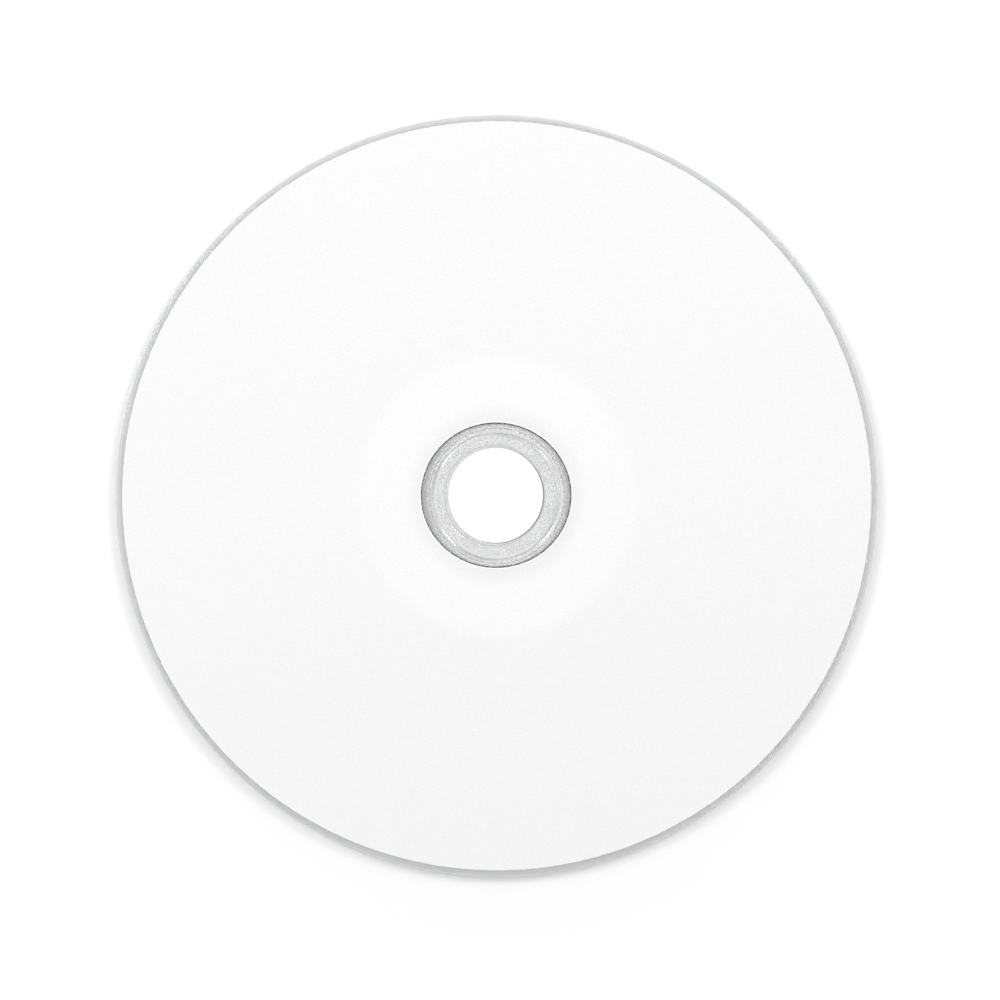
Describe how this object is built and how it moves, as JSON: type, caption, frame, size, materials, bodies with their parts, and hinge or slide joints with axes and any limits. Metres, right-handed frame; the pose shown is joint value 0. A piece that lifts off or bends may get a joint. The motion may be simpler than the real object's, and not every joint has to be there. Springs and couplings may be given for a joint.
{
  "type": "printable dvd",
  "caption": "Thin round recordable disc with a centre hole, a clear hub round it, a matt white face that takes ink, and a mirrored violet underside.",
  "frame": {"origin": "on the axis of the centre hole, in the plane of the stacking ring's crest that the disc rests on", "axes": "+Z along the hole's axis, out of the white printable face; +X and +Y lie in the disc's plane"},
  "size_m": [0.12, 0.12, 0.0014],
  "materials": {
    "clear_polycarbonate": "clear, polished moulded surface",
    "clear_adhesive": "clear cured adhesive",
    "recording_mirror": "violet mirror, finely grooved",
    "white_ink_coating": "matt white, finely grained"
  },
  "bodies": {
    "root": {"recording_half": "clear_polycarbonate", "recording_layer": "recording_mirror", "bond_layer": "clear_adhesive", "label_half": "clear_polycarbonate", "print_coating": "white_ink_coating"}
  },
  "joints": []
}
